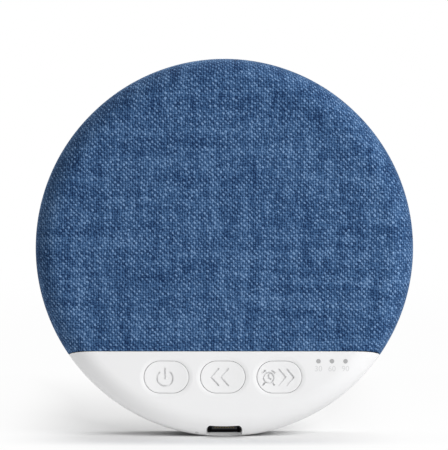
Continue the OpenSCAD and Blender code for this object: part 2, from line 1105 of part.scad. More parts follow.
// round wire through a row of points
module wire(points) {
  last = len(points) - 1;
  skin = [
    for (step = [0 : last])
      let (
        run = unit(points[min(step + 1, last)] - points[max(step - 1, 0)]),
        across = unit(cross(run, [1, 1, 1])),
        up = cross(run, across)
      )
        for (side = [0 : wire_sides - 1])
          let (turn = 360 * side / wire_sides)
            points[step] + wire_r * (cos(turn) * across + sin(turn) * up)
  ];
  sides = [
    for (step = [0 : last - 1])
      for (side = [0 : wire_sides - 1])
        let (
          here = step * wire_sides + side,
          next = step * wire_sides + (side + 1) % wire_sides
        )
          each [[here, here + wire_sides, next + wire_sides], [here, next + wire_sides, next]]
  ];
  start = [for (side = [1 : wire_sides - 2]) [0, side, side + 1]];
  tail = last * wire_sides;
  end = [for (side = [1 : wire_sides - 2]) [tail, tail + side + 1, tail + side]];
  polyhedron(skin, concat(sides, start, end));
}

module battery_leads() {
  color("#b5352c")
    stand()
      for (side = [-1, 1]) {
        x = plug_x + side * wire_gap;
        z = guard_low + guard_h / 2 - side * wire_gap;
        wire([
          [guard_w / 2, lead_y, z],
          [x - wire_turn, lead_y, z],
          [x, lead_y, z + wire_turn],
          [x, lead_high, plug_z - wire_turn],
          [x, lead_high - wire_turn, plug_z],
          [x, plug_y, plug_z]
        ]);
      }
}

// plug body whose wires leave toward +y
module plug(x) {
  color("#ece9e2")
    stand()
      translate([x - plug_w / 2, plug_y - plug_l, plug_z - plug_t / 2])
        cube([plug_w, plug_l, plug_t]);
}

module battery_plug() {
  plug(plug_x);
}

// open-ended socket that holds a plug
module plug_socket(x) {
  color("#e4e1d8")
    stand()
      difference() {
        translate([x - socket_w / 2, socket_y, board_low - socket_t])
          cube([socket_w, socket_l, socket_t]);
        translate([x - plug_w / 2 - seat_gap, plug_y - plug_l - seat_gap, plug_z - plug_t / 2 - seat_gap])
          cube([plug_w + 2 * seat_gap, socket_l, plug_t + 2 * seat_gap]);
      }
}

module battery_socket() {
  plug_socket(plug_x);
}

module speaker_terminal() {
  color("#a9713c")
    stand()
      translate([0, driver_y, terminal_z])
        rotate(terminal_a)
          translate([terminal_r - terminal_d / 2, -terminal_w / 2, 0])
            cube([terminal_d, terminal_w, terminal_t]);
}

module speaker_leads() {
  color("#2f3033")
    stand()
      for (side = [-1, 1]) {
        x = side * wire_gap - plug_x;
        turn = terminal_a + side * lead_a;
        start = [terminal_r * cos(turn), driver_y + terminal_r * sin(turn), terminal_z];
        wire([
          start,
          start - [0, 0, wire_turn],
          [x - run_gap, lead_high - wire_turn - side * wire_gap, plug_z + wire_turn / 2],
          [x, lead_high - 2 * wire_turn - side * wire_gap, plug_z],
          [x, plug_y, plug_z]
        ]);
      }
}

module speaker_plug() {
  plug(-plug_x);
}

module speaker_socket() {
  plug_socket(-plug_x);
}

module at_driver() {
  stand()
    translate([0, driver_y, 0])
      children();
}

module driver_basket() {
  color("#4a4d52")
    at_driver()
      difference() {
        rotate_extrude()
          polygon([
            [driver_r, flange_low],
            [driver_r, flange_top],
            [basket_in - basket_t, flange_top],
            [basket_foot - basket_t, yoke_top + basket_t],
            [neck_r, yoke_top + basket_t],
            [neck_r, yoke_top],
            [basket_foot, yoke_top],
            [basket_in, flange_low]
          ]);
        for (step = [0 : 5])
          rotate(step * 60)
            translate([spider_out, -slot_w / 2, spider_z + slot_up])
              cube([basket_in, slot_w, flange_low - spider_z - slot_up - basket_t]);
      }
}

module driver_yoke() {
  color("#70757b")
    at_driver()
      translate([0, 0, yoke_low])
        difference() {
          cylinder(r = yoke_r, h = yoke_top - yoke_low);
          translate([0, 0, yoke_floor])
            cylinder(r = yoke_in, h = body_t);
        }
}

module driver_magnet() {
  color("#8b8f95")
    at_driver()
      translate([0, 0, yoke_low + yoke_floor])
        cylinder(r = magnet_r, h = magnet_h);
}

module pole_plate() {
  color("#7d8288")
    at_driver()
      translate([0, 0, pole_low])
        cylinder(r = pole_r, h = yoke_top - pole_low);
}

module driver_gasket() {
  color("#232426")
    at_driver()
      translate([0, 0, flange_top])
        ring(driver_r, seat_in, gasket_t);
}

module magnet_pad() {
  color("#3a3b3d")
    at_driver()
      translate([0, 0, wall])
        cylinder(r = 0.7 * yoke_r, h = yoke_low - wall);
}

module speaker_cone() {
  color("#2d2b29")
    at_driver()
      rotate_extrude()
        polygon([
          [cone_in, cone_low],
          [cone_r, cone_edge],
          [cone_r, cone_edge + cone_t],
          [cone_in, cone_low + cone_t]
        ]);
}

module dust_cap() {
  color("#1f1f20")
    at_driver()
      intersection() {
        translate([0, 0, cap_low - sqrt(cap_ball * cap_ball - cap_r * cap_r)])
          difference() {
            sphere(cap_ball);
            sphere(cap_ball - cap_t);
          }
        translate([0, 0, cap_low])
          cylinder(r = cap_r + joint, h = cap_ball);
      }
}

module coil_former() {
  color("#a8762f")
    at_driver()
      translate([0, 0, coil_low])
        ring(coil_r + former_t, coil_r, former_top - coil_low);
}

module voice_coil() {
  color("#a4562c")
    at_driver()
      translate([0, 0, coil_low])
        ring(coil_r + former_t + thread_gap + wind_t, coil_r + former_t + thread_gap, wind_h);
}

// half roll between the cone and the basket
module surround() {
  color("#1d1d1e")
    at_driver()
      rotate_extrude() {
        translate([roll_mid, roll_low])
          intersection() {
            difference() {
              circle(roll_r);
              circle(roll_r - roll_t);
            }
            translate([-roll_r, 0])
              square(2 * roll_r);
          }
        translate([cone_r - roll_foot, roll_low])
          square([roll_mid - roll_r - cone_r + roll_foot + roll_t, roll_t]);
        translate([roll_mid + roll_r - roll_t, roll_low])
          square([seat_in - roll_mid - roll_r + roll_t - flat_gap, roll_t]);
      }
}

// corrugated ring that centres the coil
module spider() {
  span = spider_out - cone_in;
  low = [for (step = [0 : 5]) [cone_in + span * step / 5, spider_z + (step % 2) * spider_wave]];
  high = [for (step = [5 : -1 : 0]) low[step] + [0, spider_t]];
  color("#b08d57")
    at_driver()
      rotate_extrude()
        polygon(concat(low, high));
}

rear_housing();
grip_ring();
case_screws();
chin_cover();
grille_panel();
cloth_cover();
power_button();
back_button();
forward_button();
power_plunger();
back_plunger();
forward_plunger();
power_dome();
back_dome();
forward_dome();
switch_bodies();
main_board();
board_screws();
usb_riser();
usb_shell();
usb_tongue();
usb_contacts();
timer_leds();
light_guide();
charge_led();
charge_pin();
radio_chip();
amp_chip();
charge_chip();
crystal();
choke();
small_parts();
battery_cell();
battery_tape();
cell_guard();
battery_leads();
battery_plug();
battery_socket();
speaker_terminal();
speaker_leads();
speaker_plug();
speaker_socket();
driver_basket();
driver_yoke();
driver_magnet();
pole_plate();
driver_gasket();
magnet_pad();
speaker_cone();
dust_cap();
coil_former();
voice_coil();
surround();
spider();
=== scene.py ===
import math

import bpy
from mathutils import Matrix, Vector


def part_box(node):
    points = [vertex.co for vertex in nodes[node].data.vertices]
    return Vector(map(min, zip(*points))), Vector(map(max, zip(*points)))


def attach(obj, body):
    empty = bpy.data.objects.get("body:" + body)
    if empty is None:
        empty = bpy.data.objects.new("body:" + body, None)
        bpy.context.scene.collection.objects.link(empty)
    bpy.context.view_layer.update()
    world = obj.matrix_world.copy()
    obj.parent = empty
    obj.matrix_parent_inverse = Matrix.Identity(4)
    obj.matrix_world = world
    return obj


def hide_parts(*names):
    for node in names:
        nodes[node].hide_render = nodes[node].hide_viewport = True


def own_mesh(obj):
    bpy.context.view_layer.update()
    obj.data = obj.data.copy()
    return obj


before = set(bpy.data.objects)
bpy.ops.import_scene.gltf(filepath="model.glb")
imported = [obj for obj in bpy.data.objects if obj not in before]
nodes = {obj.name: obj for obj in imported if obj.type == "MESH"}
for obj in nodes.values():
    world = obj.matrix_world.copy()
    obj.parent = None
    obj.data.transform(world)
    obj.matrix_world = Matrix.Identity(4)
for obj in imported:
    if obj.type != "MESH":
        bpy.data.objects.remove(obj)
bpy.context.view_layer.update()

print("frame loaded with", len(nodes), "nodes")


class Sock:  # a node's output that takes part in sums
    def __init__(self, tree, out):
        self.tree = tree
        self.out = out

    def node(self, kind, sockets, pick=0, **settings):
        made = self.tree.nodes.new("ShaderNode" + kind)
        for name, value in settings.items():
            setattr(made, name, value)
        for name, value in sockets.items():
            join(self.tree, made.inputs[name], value)
        return Sock(self.tree, made.outputs[pick])

    def maths(self, operation, *values):
        return self.node("Math", dict(enumerate(values)), operation=operation)

    def __add__(self, other):
        return self.maths("ADD", self, other)

    def __radd__(self, other):
        return self.maths("ADD", other, self)

    def __sub__(self, other):
        return self.maths("SUBTRACT", self, other)

    def __rsub__(self, other):
        return self.maths("SUBTRACT", other, self)

    def __mul__(self, other):
        return self.maths("MULTIPLY", self, other)

    def __rmul__(self, other):
        return self.maths("MULTIPLY", other, self)

    def __truediv__(self, other):
        return self.maths("DIVIDE", self, other)

    def __rtruediv__(self, other):
        return self.maths("DIVIDE", other, self)


def join(tree, socket, value):
    if isinstance(value, Sock):
        tree.links.new(value.out, socket)
    else:
        socket.default_value = value


def startMaterial(name):
    mat = bpy.data.materials.new(name)
    mat.use_nodes = True
    shader = mat.node_tree.nodes["Principled BSDF"]
    coords = mat.node_tree.nodes.new("ShaderNodeTexCoord")
    return mat, shader, Sock(mat.node_tree, coords.outputs["Object"])


def put(shader, sockets):
    for name, value in sockets.items():
        join(shader.id_data, shader.inputs[name], value)


def rgb(r, g, b):
    return (r, g, b, 1)


def scaled(colour, factor):
    return rgb(*[min(1, part * factor) for part in colour[:3]])


def noise(point, scale, detail=2, rough=0.5):
    return point.node("TexNoise", {"Vector": point, "Scale": scale, "Detail": detail, "Roughness": rough})


def stretch(point, x, y, z=1):
    return point.node("Mapping", {"Vector": point, "Scale": (x, y, z)})


def axes(point):
    split = point.node("SeparateXYZ", {0: point})
    source = split.out.node
    return [Sock(point.tree, source.outputs[i]) for i in range(3)]


def fract(value):
    return value.maths("FRACT", value)


def floor(value):
    return value.maths("FLOOR", value)


def sine(value):
    return value.maths("SINE", value)


def cosine(value):
    return value.maths("COSINE", value)


def highest(first, second):
    return first.maths("MAXIMUM", first, second)


def clamp(value):
    return value.node("Clamp", {"Value": value})


def ease(value, low, high):
    sockets = {"Value": value, "From Min": low, "From Max": high}
    return value.node("MapRange", sockets, interpolation_type="SMOOTHSTEP")


def swing(value, amount):  # half the amount to either side
    return amount * (value - 0.5)


def between(factor, first, second):
    return factor.node("Mix", {0: factor, 6: first, 7: second}, pick=2, data_type="RGBA")


def tinted(factor, colour, dark, light):
    return between(factor, scaled(colour, dark), scaled(colour, light))


def bump(height, strength, distance):
    return height.node("Bump", {"Strength": strength, "Distance": distance, "Height": height})


def dress(material, *names):
    for name in names:
        slots = nodes[name].data.materials
        slots.clear()
        slots.append(material)


# finishes: scales count per metre, dark and light are shares of the colour, depths are in metres

plastic = {
    "cloudScale": 40,  # slow change of tone over a moulding
    "dark": 0.985,
    "light": 1.015,
    "cloudGloss": 0.10,
    "poreGloss": 0.06,
    "poreBump": 0.25,
}


def mouldedPlastic(name, colour, rough, grain=0.00022, depth=0.000012):
    mat, shader, p = startMaterial(name)
    cloud = noise(p, plastic["cloudScale"], 3)
    pores = noise(p, 1 / grain)
    put(shader, {
        "Base Color": tinted(cloud, colour, plastic["dark"], plastic["light"]),
        "Roughness": rough + swing(cloud, plastic["cloudGloss"]) + swing(pores, plastic["poreGloss"]),
        "Normal": bump(pores, plastic["poreBump"], depth),
    })
    return mat


rubber = {
    "dotScale": 3600,
    "smearScale": 70,
    "dark": 0.9,
    "light": 1.08,
    "gloss": 0.12,
    "dotBump": 0.4,
    "dotDepth": 0.00003,
}


def softRubber(name, colour, rough=0.72):
    mat, shader, p = startMaterial(name)
    dots = noise(p, rubber["dotScale"], 1)
    smear = noise(p, rubber["smearScale"], 4, 0.6)
    put(shader, {
        "Base Color": tinted(smear, colour, rubber["dark"], rubber["light"]),
        "Roughness": rough + swing(smear, rubber["gloss"]),
        "Normal": bump(dots, rubber["dotBump"], rubber["dotDepth"]),
    })
    return mat


metal = {
    "smearScale": 120,
    "dark": 0.92,
    "light": 1.05,
    "scratchGloss": 0.14,
    "smearGloss": 0.1,
    "scratchBump": 0.12,
    "scratchDepth": 0.00001,
}


def brushedMetal(name, colour, rough, lines=(9000, 300, 300)):
    mat, shader, p = startMaterial(name)
    scratch = noise(stretch(p, *lines), 1, 3)
    smear = noise(p, metal["smearScale"], 3)
    put(shader, {
        "Base Color": tinted(scratch, colour, metal["dark"], metal["light"]),
        "Metallic": 1.0,
        "Roughness": rough + swing(scratch, metal["scratchGloss"]) + swing(smear, metal["smearGloss"]),
        "Normal": bump(scratch, metal["scratchBump"], metal["scratchDepth"]),
    })
    return mat


coil = {
    "pitch": 0.00016,
    "smearScale": 300,
    "dark": 0.75,
    "light": 1.15,
    "rough": 0.34,
    "gloss": 0.1,
    "turnBump": 0.6,
    "turnDepth": 0.00005,
}


def windings(name, colour):
    mat, shader, p = startMaterial(name)
    depth = axes(p)[1]
    turn = sine(depth * (2 * math.pi / coil["pitch"]))
    smear = noise(p, coil["smearScale"], 3)
    put(shader, {
        "Base Color": tinted(smear, colour, coil["dark"], coil["light"]),
        "Metallic": 0.85,
        "Roughness": coil["rough"] + swing(smear, coil["gloss"]),
        "Normal": bump(turn, coil["turnBump"], coil["turnDepth"]),
    })
    return mat


board = {
    "laneTurn": 3600,  # radians per metre from track to track
    "laneBend": 9,
    "bendScale": 90,
    "laneEdge": (0.55, 0.75),
    "stepLong": 0.35,
    "stepScale": 420,
    "stepEdge": (0.5, 0.52),
    "smearScale": 200,
    "dark": rgb(0.008, 0.075, 0.035),
    "light": rgb(0.012, 0.1, 0.048),
    "track": rgb(0.02, 0.16, 0.075),
    "rough": 0.32,
    "gloss": 0.12,
    "trackBump": 0.5,
    "trackDepth": 0.00003,
}


def boardLaminate(name):
    mat, shader, p = startMaterial(name)
    bend = board["laneBend"] * noise(p, board["bendScale"])
    lanes = ease(sine(axes(p)[0] * board["laneTurn"] + bend), *board["laneEdge"])
    steps = ease(noise(stretch(p, 1, 1, board["stepLong"]), board["stepScale"], 0), *board["stepEdge"])
    tracks = lanes * steps  # they show under the lacquer
    smear = noise(p, board["smearScale"], 3)
    green = between(smear, board["dark"], board["light"])
    put(shader, {
        "Base Color": between(tracks, green, board["track"]),
        "Roughness": board["rough"] + swing(smear, board["gloss"]),
        "Normal": bump(tracks, board["trackBump"], board["trackDepth"]),
    })
    return mat


pulp = {
    "squeeze": 3,  # fibres lie flat in the sheet
    "fleckShare": 2.5,
    "fleckEdge": (0.62, 0.72),
    "dark": 0.7,
    "light": 1.2,
    "fleck": 1.9,
    "gloss": 0.1,
    "fibreBump": 0.5,
    "fibreDepth": 0.00006,
}


def fibrePulp(name, colour, rough=0.85, size=900):
    mat, shader, p = startMaterial(name)
    fibres = noise(stretch(p, 1, pulp["squeeze"]), size, 5, 0.65)
    flecks = ease(noise(p, size * pulp["fleckShare"]), *pulp["fleckEdge"])
    sheet = tinted(fibres, colour, pulp["dark"], pulp["light"])
    put(shader, {
        "Base Color": between(flecks, sheet, scaled(colour, pulp["fleck"])),
        "Roughness": rough + swing(fibres, pulp["gloss"]),
        "Normal": bump(fibres, pulp["fibreBump"], pulp["fibreDepth"]),
    })
    return mat


gauze = {
    "threadTurn": 9000,  # radians per metre from thread to thread
    "smearScale": 260,
    "dark": 0.75,
    "light": 1.1,
    "rough": 0.8,
    "gloss": 0.1,
    "threadBump": 0.7,
    "threadDepth": 0.00008,
}


def wovenRing(name, colour):
    mat, shader, p = startMaterial(name)
    x, z = axes(p)[::2]
    over = sine(x * gauze["threadTurn"]) * sine(z * gauze["threadTurn"])  # plain weave of the spider
    smear = noise(p, gauze["smearScale"], 3)
    put(shader, {
        "Base Color": tinted(smear, colour, gauze["dark"], gauze["light"]),
        "Roughness": gauze["rough"] + swing(smear, gauze["gloss"]),
        "Normal": bump(over, gauze["threadBump"], gauze["threadDepth"]),
    })
    return mat


foil = {
    "creaseScale": 260,
    "smearScale": 60,
    "dark": 0.9,
    "light": 1.05,
    "rough": 0.3,
    "gloss": 0.2,
    "creaseBump": 0.35,
    "creaseDepth": 0.0002,
}


def crinkledFoil(name, colour):
    mat, shader, p = startMaterial(name)
    creases = noise(p, foil["creaseScale"], 4, 0.6)
    smear = noise(p, foil["smearScale"])
    put(shader, {
        "Base Color": tinted(smear, colour, foil["dark"], foil["light"]),
        "Metallic": 0.9,
        "Roughness": foil["rough"] + swing(creases, foil["gloss"]),
        "Normal": bump(creases, foil["creaseBump"], foil["creaseDepth"]),
    })
    return mat


sponge = {
    "cellScale": 2600,
    "smearScale": 150,
    "dark": 0.85,
    "light": 1.1,
    "rough": 0.9,
    "gloss": 0.08,
    "cellBump": 0.5,
    "cellDepth": 0.0001,
}


def foam(name, colour):
    mat, shader, p = startMaterial(name)
    cells = p.node("TexVoronoi", {"Vector": p, "Scale": sponge["cellScale"]})
    smear = noise(p, sponge["smearScale"])
    put(shader, {
        "Base Color": tinted(smear, colour, sponge["dark"], sponge["light"]),
        "Roughness": sponge["rough"] + swing(smear, sponge["gloss"]),
        "Normal": bump(cells, sponge["cellBump"], sponge["cellDepth"]),
    })
    return mat


glaze = {
    "speckScale": 2600,
    "smearScale": 240,
    "dark": 0.88,
    "light": 1.1,
    "gloss": 0.12,
    "speckBump": 0.15,
    "speckDepth": 0.00001,
}


def glazedPart(name, colour, rough):
    mat, shader, p = startMaterial(name)
    specks = noise(p, glaze["speckScale"], 3)
    smear = noise(p, glaze["smearScale"])
    put(shader, {
        "Base Color": tinted(specks, colour, glaze["dark"], glaze["light"]),
        "Roughness": rough + swing(smear, glaze["gloss"]),
        "Normal": bump(specks, glaze["speckBump"], glaze["speckDepth"]),
    })
    return mat


frosted = {
    "hazeScale": 900,
    "dark": 0.95,
    "light": 1.05,
    "rough": 0.3,
    "gloss": 0.1,
    "hazeBump": 0.1,
    "hazeDepth": 0.00001,
}


def lightPipe(name, colour):
    mat, shader, p = startMaterial(name)
    haze = noise(p, frosted["hazeScale"], 3)
    put(shader, {
        "Base Color": tinted(haze, colour, frosted["dark"], frosted["light"]),
        "Roughness": frosted["rough"] + swing(haze, frosted["gloss"]),
        "Normal": bump(haze, frosted["hazeBump"], frosted["hazeDepth"]),
    })
    return mat


white = rgb(0.85, 0.85, 0.855)
finishes = {
    "whitePlastic": mouldedPlastic("whitePlastic", white, 0.42),
    "keyPlastic": mouldedPlastic("keyPlastic", white, 0.4, 0.00019, 0.00001),
    "panelPlastic": mouldedPlastic("panelPlastic", rgb(0.042, 0.052, 0.066), 0.5),
    "blackPlastic": mouldedPlastic("blackPlastic", rgb(0.012, 0.012, 0.013), 0.45),
    "softRing": softRubber("softRing", rgb(0.58, 0.6, 0.61)),
    "screwSteel": brushedMetal("screwSteel", rgb(0.56, 0.57, 0.58), 0.36),
    # black-plated shell, made darker than its plating so the socket's inside stays black: partly its own
    # colour, partly painted shade
    "socketSteel": brushedMetal("socketSteel", rgb(0.005, 0.005, 0.006), 0.4, (300, 300, 9000)),
    # gold plating darkened far below its own colour: painted shade of the socket's inside
    "contactMetal": brushedMetal("contactMetal", rgb(0.13, 0.10, 0.05), 0.36),
    "domeSteel": brushedMetal("domeSteel", rgb(0.62, 0.64, 0.66), 0.22),
    "boardLaminate": boardLaminate("boardLaminate"),
    "lightClear": lightPipe("lightClear", rgb(0.42, 0.42, 0.425)),
    "pinClear": lightPipe("pinClear", rgb(0.62, 0.62, 0.625)),
    "lightChip": glazedPart("lightChip", rgb(0.8, 0.74, 0.5), 0.35),
    "chipBlack": glazedPart("chipBlack", rgb(0.02, 0.021, 0.023), 0.48),
    "partCeramic": glazedPart("partCeramic", rgb(0.32, 0.22, 0.12), 0.4),
    "cellFoil": crinkledFoil("cellFoil", rgb(0.62, 0.64, 0.66)),
    "foamTape": foam("foamTape", rgb(0.7, 0.7, 0.71)),
    "foamDark": foam("foamDark", rgb(0.03, 0.03, 0.032)),
    "guardFilm": glazedPart("guardFilm", rgb(0.5, 0.2, 0.02), 0.3),
    "wireRed": softRubber("wireRed", rgb(0.45, 0.03, 0.025), 0.5),
    "wireBlack": softRubber("wireBlack", rgb(0.02, 0.02, 0.022), 0.5),
    "plugNylon": mouldedPlastic("plugNylon", rgb(0.78, 0.76, 0.7), 0.4),
    "terminalBoard": fibrePulp("terminalBoard", rgb(0.3, 0.12, 0.04), 0.6, 600),
    "basketSteel": brushedMetal("basketSteel", rgb(0.1, 0.105, 0.115), 0.45, (400, 400, 400)),
    "yokeSteel": brushedMetal("yokeSteel", rgb(0.4, 0.42, 0.44), 0.32, (300, 9000, 300)),
    "magnetMetal": brushedMetal("magnetMetal", rgb(0.55, 0.56, 0.58), 0.25),
    "conePulp": fibrePulp("conePulp", rgb(0.022, 0.02, 0.019)),
    "coilCopper": windings("coilCopper", rgb(0.62, 0.22, 0.09)),
    "formerFilm": glazedPart("formerFilm", rgb(0.42, 0.2, 0.05), 0.35),
    "surroundRubber": softRubber("surroundRubber", rgb(0.012, 0.012, 0.013), 0.55),
    "spiderCloth": wovenRing("spiderCloth", rgb(0.42, 0.27, 0.11)),
}

wearing = {
    "whitePlastic": ["rear_housing", "chin_cover"],
    "keyPlastic": ["power_button", "back_button", "forward_button"],
    "panelPlastic": ["grille_panel"],
    "blackPlastic": [
        "power_plunger", "back_plunger", "forward_plunger", "switch_bodies", "usb_riser", "usb_tongue"],
    "softRing": ["grip_ring"],
    "screwSteel": ["case_screws", "board_screws"],
    "contactMetal": ["usb_contacts"],
    "boardLaminate": ["main_board"],
    "lightClear": ["light_guide"],
    "pinClear": ["charge_pin"],
    "lightChip": ["timer_leds", "charge_led"],
    "chipBlack": ["radio_chip", "amp_chip", "charge_chip", "choke"],
    "partCeramic": ["small_parts"],
    "cellFoil": ["battery_cell"],
    "foamTape": ["battery_tape"],
    "foamDark": ["magnet_pad", "driver_gasket"],
    "guardFilm": ["cell_guard"],
    "wireRed": ["battery_leads"],
    "wireBlack": ["speaker_leads"],
    "plugNylon": ["battery_plug", "battery_socket", "speaker_plug", "speaker_socket"],
    "terminalBoard": ["speaker_terminal"],
    "basketSteel": ["driver_basket"],
    "yokeSteel": ["driver_yoke", "pole_plate"],
    "magnetMetal": ["driver_magnet", "crystal"],
    "conePulp": ["speaker_cone", "dust_cap"],
    "coilCopper": ["voice_coil"],
    "formerFilm": ["coil_former"],
    "surroundRubber": ["surround"],
    "spiderCloth": ["spider"],
}
for finish, names in wearing.items():
    dress(finishes[finish], *names)
print("finishes on", sum(len(names) for names in wearing.values()), "nodes")


# modelling helpers

tiny = {"cut": 1e-7, "touch": 1e-6, "pick": 1e-5}  # metres
facing = 0.999  # a normal's share along an axis when the face lies square to it
smoothAngle = math.radians(40)
upright = (math.pi / 2, 0, 0)  # turns a primitive's axis from z to y


def clearSelection():
    if bpy.context.object and bpy.context.object.mode != "OBJECT":
        bpy.ops.object.mode_set(mode="OBJECT")
    bpy.ops.object.select_all(action="DESELECT")


def startPick(kind):
    bpy.ops.object.mode_set(mode="EDIT")
    bpy.ops.mesh.select_mode(type=kind)
    bpy.ops.mesh.select_all(action="DESELECT")
    bpy.ops.object.mode_set(mode="OBJECT")


def pickEdges(obj, rule):
    startPick("EDGE")
    verts = obj.data.vertices
    for edge in obj.data.edges:
        edge.select = rule(verts[edge.vertices[0]].co, verts[edge.vertices[1]].co)
    bpy.ops.object.mode_set(mode="EDIT")


def pickFaces(obj, rule):
    startPick("FACE")
    for face in obj.data.polygons:
        face.select = rule(face)
    bpy.ops.object.mode_set(mode="EDIT")


def applyPlace():
    bpy.ops.object.transform_apply(location=True, rotation=True, scale=True)


def applyModifier(obj, kind, **settings):
    mod = obj.modifiers.new(kind.lower(), kind)
    for name, value in settings.items():
        setattr(mod, name, value)
    bpy.ops.object.modifier_apply(modifier=mod.name)


# cloth front

cloth = {
    "centreZ": 0.049797,
    "radius": 0.05,
    "frontY": -0.01025,
    "backY": 0.00635,
    "round": 0.0065,
    "roundSteps": 18,
    "sides": 288,
    "spare": 0.001,  # length at the back that is cut off again
    "frontInset": 0.0006,
    "seamDown": 0.02683,
    "seamLean": math.radians(14),
    "fold": 0.0003,
    "foldSteps": 4,
    "tuck": 0.0012,
    "thick": 0.0007,
}
seamPoint = Vector((0, cloth["frontY"], cloth["centreZ"] - cloth["seamDown"]))
seamUp = Vector((0, math.sin(cloth["seamLean"]), math.cos(cloth["seamLean"])))


def offSeam(point):
    return (point - seamPoint).dot(seamUp)


def clothInward(point):
    out = Vector((point.x, 0, point.z - cloth["centreZ"]))
    reach = out.length - (cloth["radius"] - cloth["round"])
    ahead = cloth["frontY"] + cloth["round"] - point.y
    if reach <= 0:
        return Vector((0, 1, 0))
    lean = math.atan2(reach, max(ahead, 0))
    return Vector((0, 1, 0)) * math.cos(lean) - out.normalized() * math.sin(lean)


def flatPlace(point):  # where a point of the cloth lies when it is spread flat
    out = Vector((point.x, point.z - cloth["centreZ"]))
    inner = cloth["radius"] - cloth["round"]
    arcY = cloth["frontY"] + cloth["round"]
    if out.length <= inner:
        return out
    if point.y < arcY:
        run = inner + cloth["round"] * math.atan2(out.length - inner, arcY - point.y)
    else:
        run = inner + cloth["round"] * math.pi / 2 + point.y - arcY
    return out * (run / out.length)


def makeCloth():
    clearSelection()
    depth = cloth["backY"] - cloth["frontY"] + cloth["spare"]
    bpy.ops.mesh.primitive_cylinder_add(
        vertices=cloth["sides"], radius=cloth["radius"], depth=depth,
        location=(0, cloth["frontY"] + depth / 2, cloth["centreZ"]), rotation=upright)
    obj = bpy.context.object
    obj.name = "clothFront"
    applyPlace()

    pickEdges(obj, lambda a, b: max(a.y, b.y) < cloth["frontY"] + tiny["pick"])
    bpy.ops.mesh.bevel(offset=cloth["round"], segments=cloth["roundSteps"], profile=0.5, affect="EDGES")
    pickFaces(obj, lambda face: face.normal.y < -facing and len(face.vertices) == cloth["sides"])
    bpy.ops.mesh.inset(thickness=cloth["frontInset"])
    fold = cloth["fold"]
    rimY = cloth["backY"] - fold
    bpy.ops.mesh.select_all(action="SELECT")
    bpy.ops.mesh.bisect(
        plane_co=(0, rimY, 0), plane_no=(0, 1, 0), clear_outer=True, threshold=tiny["cut"])
    bpy.ops.mesh.select_all(action="SELECT")
    bpy.ops.mesh.bisect(
        plane_co=seamPoint + seamUp * fold, plane_no=seamUp, clear_inner=True, threshold=tiny["cut"])

    def onSeam(point):
        return offSeam(point) < fold + tiny["touch"]

    def onRim(point):
        return point.y > rimY - tiny["touch"]

    # both free edges roll over and turn under the panel
    pickEdges(obj, lambda a, b: (onSeam(a) and onSeam(b)) or (onRim(a) and onRim(b)))
    turn = math.pi / 2 / cloth["foldSteps"]
    for step in range(cloth["foldSteps"] + 1):
        bpy.ops.mesh.extrude_edges_move()
        bpy.ops.object.mode_set(mode="OBJECT")
        for vert in obj.data.vertices:
            if not vert.select:
                continue
            inward = clothInward(vert.co)
            outward = Vector((0, 0, 0))
            if onSeam(vert.co):
                outward -= seamUp
            if onRim(vert.co):
                outward += Vector((0, 1, 0))
            outward = (outward - inward * outward.dot(inward)).normalized()
            if step == cloth["foldSteps"]:
                vert.co += inward * cloth["tuck"]
            else:
                vert.co += outward * fold * (math.sin(turn * (step + 1)) - math.sin(turn * step))
                vert.co += inward * fold * (math.cos(turn * step) - math.cos(turn * (step + 1)))
        bpy.ops.object.mode_set(mode="EDIT")
    bpy.ops.object.mode_set(mode="OBJECT")
    applyModifier(obj, "SOLIDIFY", thickness=cloth["thick"], offset=-1)

    weave = obj.data.uv_layers.new(name="weave")
    for loop in obj.data.loops:
        weave.data[loop.index].uv = flatPlace(obj.data.vertices[loop.vertex_index].co)
    bpy.ops.object.shade_smooth_by_angle(angle=smoothAngle)
    return obj


yarn = {
    "warpPitch": 0.69,  # millimetres, as all lengths and scales here
    "weftPitch": 0.67,
    "warpBend": 0.9,  # threads don't lie quite straight
    "warpBendScale": 0.4,
    "weftBend": 0.8,
    "weftBendScale": 0.37,
    "stagger": 0.35,  # picks step a little from thread to thread
    "swell": 0.6,  # a thread's own roundness
    "climb": 0.5,  # its way over and under the others
    "slant": 0.3,  # the twist of the yarn tips each crossing over
    "upEdge": 0.15,
    "meanRelief": 0.75,
    "jump": (7.31, 5.17),  # noise steps from thread to thread, warp and weft
    "drift": (0.11, 0.14),  # and along a thread
    "layer": (3.0, 9.0),
    "fibre": (4.6, 1.7),
    "band": (0.3, 0.03),
    "grain": (2.6, 2.0),
    "fibreRelief": 0.3,
    "bump": 0.5,
    "bumpDepth": 0.0002,  # metres
}

dyeAndPaintedLight = {  # what each cause adds to the tone, from 0, dark, to 1, light
    "dark": rgb(0.003, 0.019, 0.072),
    "middle": rgb(0.045, 0.112, 0.245),
    "light": rgb(0.190, 0.315, 0.520),
    "base": 0.415,
    "warp": 0.10,
    # the next four are painted light: a sheen along one diagonal, shade across each thread and shade in the
    # weave's low places
    "paintedSheen": 0.15,
    "paintedWarpShade": 0.11,
    "paintedWeftShade": 0.05,
    "relief": 0.2,
    "crossing": 0.32,  # mixed fibres in the yarn
    "grain": 1.1,
    "bands": 0.52,  # uneven dye
    "warpThread": 0.85,
    "warpUnder": 0.4,  # share of a warp thread's tone that shows where it lies below
    "weftThread": 0.6,
    "rough": 0.88,
    "fibreGloss": 0.1,
}


